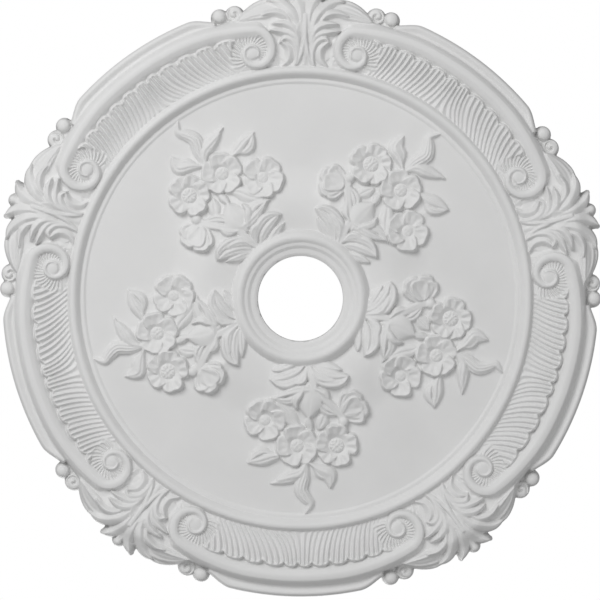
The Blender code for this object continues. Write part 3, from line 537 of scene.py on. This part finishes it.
# The plain leaves of a spray: middle line, width, rise and tilt
SPRAY_LEAVES = (
    (((-4, -2), (8, 1), (21, 6), (30, 9)), 9, (1.0, 1.4, 1.0), 0.4),
    (((-15, -2), (-24, 1), (-35, 3), (-48, 7)), 9, (1.0, 1.4, 1.0), -0.4),
    (((-6, 2), (4, 9), (18, 15), (32, 19)), 10, (1.2, 1.8, 1.4), 0.5),
    (((-14, 0), (-24, 7), (-39, 12), (-55, 13)), 11, (1.2, 1.8, 1.6), -0.5),
    (((-8, 5), (-1, 16), (12, 23), (22, 23), (32, 18)), 10, (1.4, 2.2, 1.8), 0.5),
    (((-15, 8), (-22, 19), (-35, 22), (-47, 20), (-55, 13)), 10, (1.4, 2.2, 1.8), -0.5),
    (((-13, 4), (-20, 13), (-29, 17), (-40, 18)), 9, (1.6, 2.4, 2.0), -0.5),
    (((-8, 8), (-5, 18), (2, 21), (12, 23)), 8, (1.6, 2.4, 1.8), 0.4),
    (((-16, 30), (-7, 28), (8, 31), (27, 39)), 10, (1.6, 2.2, 1.6), 0.5),
    (((-8, 33), (3, 39), (14, 43), (31, 39)), 10, (1.4, 1.6, 1.2), -0.4),
    (((22, 44), (13, 54), (6, 64), (-3, 72)), 15, (1.0, 1.6, 1.6), -0.5),
    (((-30, 54), (-27, 64), (-22, 74)), 14, (1.0, 1.4, 1.4), 0.0),
    (((-18, 28), (-27, 31), (-31, 35), (-34, 41)), 8, (1.8, 2.0, 1.4), -0.4),
    (((28, 101), (38, 98), (46, 101), (54, 110)), 9, (1.0, 1.6, 1.0), 0.4),
    (((16, 103), (29, 106), (41, 110), (56, 112)), 12, (1.2, 1.6, 0.8), -0.5),
    (((-8, 112), (-2, 121), (9, 125), (24, 131)), 11, (1.4, 2.0, 1.0), 0.5),
    (((-8, 116), (0, 126), (12, 131), (30, 135)), 9, (1.4, 1.4, 0.6), -0.4),
    (((-17, 114), (-24, 123), (-32, 127), (-37, 139)), 9, (1.2, 1.4, 0.6), 0.4),
    (((-12, 110), (-24, 116), (-36, 120), (-39, 127), (-37, 139)), 11, (1.4, 2.0, 0.8), -0.5),
)


def spray(relief, turned):
    """A spray of three flowers, a bud and leaves, in units of its length / 166, from the ring outwards."""
    place = Place(turned, SPRAY_UNIT, SPRAY_START)
    for points, width, rise, tilt in SPRAY_LEAVES:
        relief.leaf(place, points, width, rise, tilt=tilt)
    relief.stem(place, ((-8, -4), (-11, 6), (-15, 19), (-17, 30)), 8, (1.4, 2.0, 1.8))
    relief.leaf(place, ((-22, 42), (-27, 50), (-33, 54), (-43, 57)), 10, (1.4, 1.8, 1.6), vein=1.2)
    relief.stem(place, ((-17, 28), (-26, 37), (-36, 46), (-45, 55), (-51, 64)), 8, (1.6, 1.8, 1.8))
    relief.leaf(place, ((-9, 26), (-12, 37), (-12, 49), (-11, 62)), 27, (1.2, 1.8, 2.0), crown=1.4, vein=0.3,
                tilt=0.5, full=0.48, plump=0.9, keen=1.6)
    relief.leaf(place, ((-6, 26), (-1, 34), (4, 42), (2, 52)), 8, (2.0, 3.0, 2.2), tilt=0.4, keen=1.4)
    relief.leaf(place, ((-11, 58), (-12, 66), (-15, 76)), 8, (2.0, 2.4, 1.6), full=0.6, keen=1.3)
    wavy = ((-10, 106), (-8, 124), (-4, 139), (-9, 149), (-15, 157), (-9, 168))
    relief.leaf(place, wavy, 14, (1.4, 2.0, 0.8), vein=0.1, ribs=2, full=0.35)
    flower(relief, place, (37, 64), 23, 5.6, 1.0, (22, 105, 180, 238, 308), (0.6, 0.5, 0.7, 0.9, 1.0))
    flower(relief, place, (-43, 91), 23, 8.0, 1.2, (-18, 37, 104, 186, 270),
           (1.4, 0.5, 0.4, 1.1, 2.4), rays=0.6)
    flower(relief, place, (1, 92), 23, 6.8, 1.4, (0, 63, 141, 207, 279), (1.0, 0.5, 0.5, 1.1, 1.3))
    bud(relief, place)


def carve(mesh):
    relief = Relief(mesh)
    middles = [(k + 0.5) * SECTOR_ANGLE for k in range(SECTORS)]
    for middle, turn in zip(middles, SPRAY_TURNS):
        cluster(relief, middle - SECTOR_ANGLE / 2)
        spray(relief, middle + turn)
    relief.fill_gaps()
    flutes(relief)
    rim(relief)
    for middle in middles:
        beads(relief, middle)
        frame_strap(relief, middle)
    relief.soften()
    relief.shape(mesh)


def fine_relief():
    """The relief's front as one open sheet, cut off at the plane of the back."""
    half = RIM_OUTER + 0.25 * CLUSTER_HEIGHT
    cells = round(2 * half / GRID_STEP)
    bpy.ops.mesh.primitive_grid_add(x_subdivisions=cells, y_subdivisions=cells, size=2 * half)
    rose = bpy.context.object
    rose.name = "rose_relief"
    carve(rose.data)
    cut = bmesh.new()
    cut.from_mesh(rose.data)
    outside = [face for face in cut.faces if min(-vert.co.z for vert in face.verts) < CUT_AWAY_BELOW]
    bmesh.ops.delete(cut, geom=outside, context="FACES")
    whole = cut.verts[:] + cut.edges[:] + cut.faces[:]
    bmesh.ops.bisect_plane(cut, geom=whole, plane_co=(0, 0, 0), plane_no=(0, 0, 1), clear_outer=True)
    outline = [edge for edge in cut.edges if edge.is_boundary]
    bmesh.ops.triangle_fill(cut, edges=outline, use_beauty=True, normal=(0, 0, 1))
    bmesh.ops.recalc_face_normals(cut, faces=cut.faces)
    cut.to_mesh(rose.data)
    cut.free()
    return rose


def thin(piece):
    modifier = piece.modifiers.new("fewer_faces", "DECIMATE")
    piece.data.calc_loop_triangles()
    modifier.ratio = KEPT_TRIANGLES / len(piece.data.loop_triangles)
    bpy.ops.object.modifier_apply(modifier=modifier.name)


def drill(piece):
    bpy.ops.mesh.primitive_cylinder_add(vertices=HOLE_SIDES, radius=HOLE_RADIUS, depth=3 * HUB_RING_TOP)
    cutter = bpy.context.object
    modifier = piece.modifiers.new("centre_hole", "BOOLEAN")
    modifier.operation = "DIFFERENCE"
    modifier.solver = "EXACT"
    modifier.object = cutter
    bpy.context.view_layer.objects.active = piece
    bpy.ops.object.modifier_apply(modifier=modifier.name)
    bpy.data.objects.remove(cutter, do_unlink=True)


# The primer's real scale: mottling, changes of sheen, and the orange peel's width and depth; and how far the
# painted shade in recesses reaches
MOTTLE_SIZE = 60 * MM
SHEEN_SIZE = 9 * MM
PEEL_SIZE = 1.1 * MM
PEEL_DEPTH = 0.15 * MM
PAINTED_SHADE_REACH = 3.5 * MM


def primer():
    """Matt factory primer over moulded foam: fine orange peel, faint mottling, and painted shade darkening
    the recesses.
    """
    material = bpy.data.materials.new("white_primer_fine")
    material.use_nodes = True
    nodes, links = material.node_tree.nodes, material.node_tree.links
    shader = nodes["Principled BSDF"]
    shader.inputs["Metallic"].default_value = 0.0
    shader.inputs["Specular IOR Level"].default_value = 0.35
    place = nodes.new("ShaderNodeTexCoord")

    def noise(size, detail):
        texture = nodes.new("ShaderNodeTexNoise")
        texture.inputs["Scale"].default_value = 1 / size
        texture.inputs["Detail"].default_value = detail
        links.new(place.outputs["Object"], texture.inputs["Vector"])
        return texture.outputs["Fac"]

    mottle = nodes.new("ShaderNodeValToRGB")
    mottle.color_ramp.elements[0].position = 0.3
    mottle.color_ramp.elements[0].color = (0.775, 0.775, 0.772, 1)
    mottle.color_ramp.elements[1].position = 0.7
    mottle.color_ramp.elements[1].color = (0.805, 0.805, 0.802, 1)
    links.new(noise(MOTTLE_SIZE, 3), mottle.inputs["Fac"])

    # Painted shade: ambient occlusion darkens the base colour towards 0.66 grey in grooves, recesses and at
    # the feet of walls
    painted_shade_ao = nodes.new("ShaderNodeAmbientOcclusion")
    painted_shade_ao.inputs["Distance"].default_value = PAINTED_SHADE_REACH
    painted_shade_mix = nodes.new("ShaderNodeMix")
    painted_shade_mix.data_type = "RGBA"
    painted_shade_mix.inputs["A"].default_value = (0.66, 0.66, 0.655, 1)
    links.new(painted_shade_ao.outputs["AO"], painted_shade_mix.inputs["Factor"])
    links.new(mottle.outputs["Color"], painted_shade_mix.inputs["B"])
    links.new(painted_shade_mix.outputs["Result"], shader.inputs["Base Color"])

    sheen = nodes.new("ShaderNodeMapRange")
    sheen.inputs["To Min"].default_value = 0.52
    sheen.inputs["To Max"].default_value = 0.66
    links.new(noise(SHEEN_SIZE, 2), sheen.inputs["Value"])
    links.new(sheen.outputs["Result"], shader.inputs["Roughness"])

    peel = nodes.new("ShaderNodeBump")
    peel.inputs["Strength"].default_value = 0.25
    peel.inputs["Distance"].default_value = PEEL_DEPTH
    links.new(noise(PEEL_SIZE, 2), peel.inputs["Height"])
    links.new(peel.outputs["Normal"], shader.inputs["Normal"])
    return material


def dressed_rose():
    rose = fine_relief()
    thin(rose)
    drill(rose)
    rose.data.shade_smooth()
    smooth = rose.modifiers.new("even_shading", "WEIGHTED_NORMAL")
    smooth.mode = "FACE_AREA"
    smooth.weight = 60
    bpy.context.view_layer.objects.active = rose
    bpy.ops.object.modifier_apply(modifier=smooth.name)
    return rose


# The room: a pale floor far below, three soft lamps and an even white surround, in metres and watts
FLOOR_DROP = 2.75
FLOOR_SIZE = 9
LAMPS = (
    ("key", (1.15, 1.3, -2.2), 1.5, 43.5),
    ("fill", (-1.8, -1.2, -2.0), 1.6, 6),
    ("top", (0.8, -1.6, 1.8), 1.6, 25),
)
SURROUND_LIGHT = 0.29

# The camera looks up at the relief. PHOTO_WIDTH is what its picture covers at FOCUS_DROP below the back.
CAMERA_DROP = 2.4
FOCUS_DROP = 15 * MM
SENSOR_WIDTH = 36
PHOTO_WIDTH = 668.4 * MM
PHOTO_TURN = 1.0
PHOTO_OFFSET = (-0.56 * MM, -1.67 * MM)


def pale_floor():
    bpy.ops.mesh.primitive_plane_add(size=FLOOR_SIZE, location=(0, 0, -FLOOR_DROP))
    floor = bpy.context.object
    floor.name = "studio_floor"
    material = bpy.data.materials.new("pale_floor")
    material.use_nodes = True
    shader = material.node_tree.nodes["Principled BSDF"]
    shader.inputs["Base Color"].default_value = (0.80, 0.80, 0.80, 1)
    shader.inputs["Roughness"].default_value = 0.8
    floor.data.materials.append(material)
    return floor


def soft_lamp(name, place, size, watts):
    lamp = bpy.data.lights.new(name, "AREA")
    lamp.shape = "DISK"
    lamp.size = size
    lamp.energy = watts
    item = bpy.data.objects.new(name, lamp)
    item.location = place
    item.rotation_euler = (-mathutils.Vector(place)).to_track_quat("-Z", "Y").to_euler()
    item.visible_camera = False
    bpy.context.scene.collection.objects.link(item)


def surround():
    """White behind the object, and a dimmer even light on it."""
    world = bpy.data.worlds.new("surround")
    bpy.context.scene.world = world
    world.use_nodes = True
    nodes, links = world.node_tree.nodes, world.node_tree.links
    rays = nodes.new("ShaderNodeLightPath")
    strength = nodes.new("ShaderNodeMapRange")
    strength.inputs["To Min"].default_value = SURROUND_LIGHT
    strength.inputs["To Max"].default_value = 1.0
    links.new(rays.outputs["Is Camera Ray"], strength.inputs["Value"])
    links.new(strength.outputs["Result"], nodes["Background"].inputs["Strength"])
    nodes["Background"].inputs["Color"].default_value = (1, 1, 1, 1)


def photo_camera():
    data = bpy.data.cameras.new("photo_view")
    data.sensor_width = SENSOR_WIDTH
    data.lens = SENSOR_WIDTH * (CAMERA_DROP - FOCUS_DROP) / PHOTO_WIDTH
    camera = bpy.data.objects.new("photo_view", data)
    bpy.context.scene.collection.objects.link(camera)
    turn = mathutils.Matrix.Rotation(math.radians(PHOTO_TURN), 4, "Z")
    turn = mathutils.Matrix.Rotation(math.pi, 4, "Y") @ turn
    place = turn @ mathutils.Vector((*PHOTO_OFFSET, CAMERA_DROP))
    camera.matrix_world = mathutils.Matrix.Translation(place) @ turn
    bpy.context.scene.camera = camera


rose = dressed_rose()
rose.data.materials.clear()
rose.data.materials.append(primer())
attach(rose, "root")
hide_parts("ceiling_rose")

floor = pale_floor()
for name, place, size, watts in LAMPS:
    soft_lamp(name, place, size, watts)
surround()
photo_camera()
bpy.context.scene.view_settings.view_transform = "Standard"
